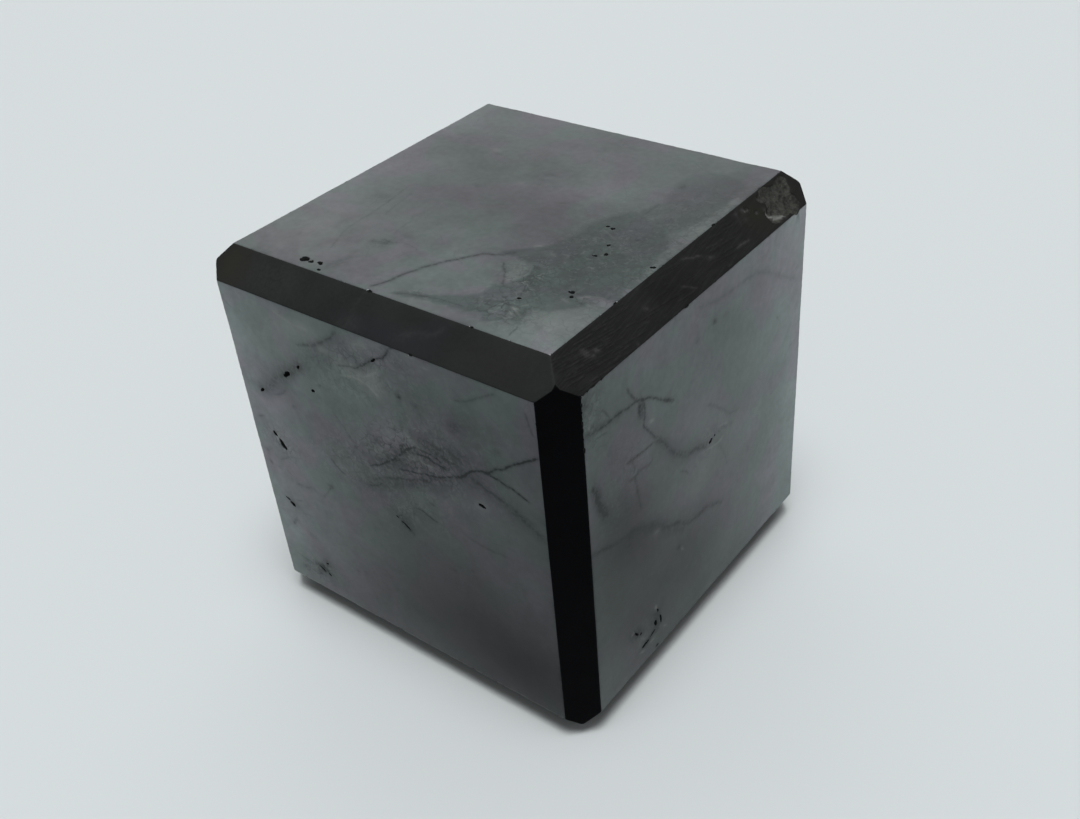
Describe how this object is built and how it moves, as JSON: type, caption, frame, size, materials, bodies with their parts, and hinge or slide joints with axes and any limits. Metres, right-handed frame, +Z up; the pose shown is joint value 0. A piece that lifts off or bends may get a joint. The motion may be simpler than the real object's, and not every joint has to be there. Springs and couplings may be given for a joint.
{
  "type": "shungite cube",
  "caption": "Polished dark stone cube with broad ground bevels along its edges, veined faces and small open pits; rests on any flat face.",
  "frame": {"origin": "under the middle of the block, in the plane of the face that it rests on", "axes": "+Z up, out of the top face; -Y out of the front face, which is the left one of the two sides in the picture; +X out of the right face"},
  "size_m": [0.1, 0.1006, 0.0993],
  "materials": {
    "polished_stone": "polished dark grey stone with veins and clouds; the edge bevels are ground and nearly black"
  },
  "bodies": {
    "root": {"shungite_cube": "polished_stone"}
  },
  "joints": []
}
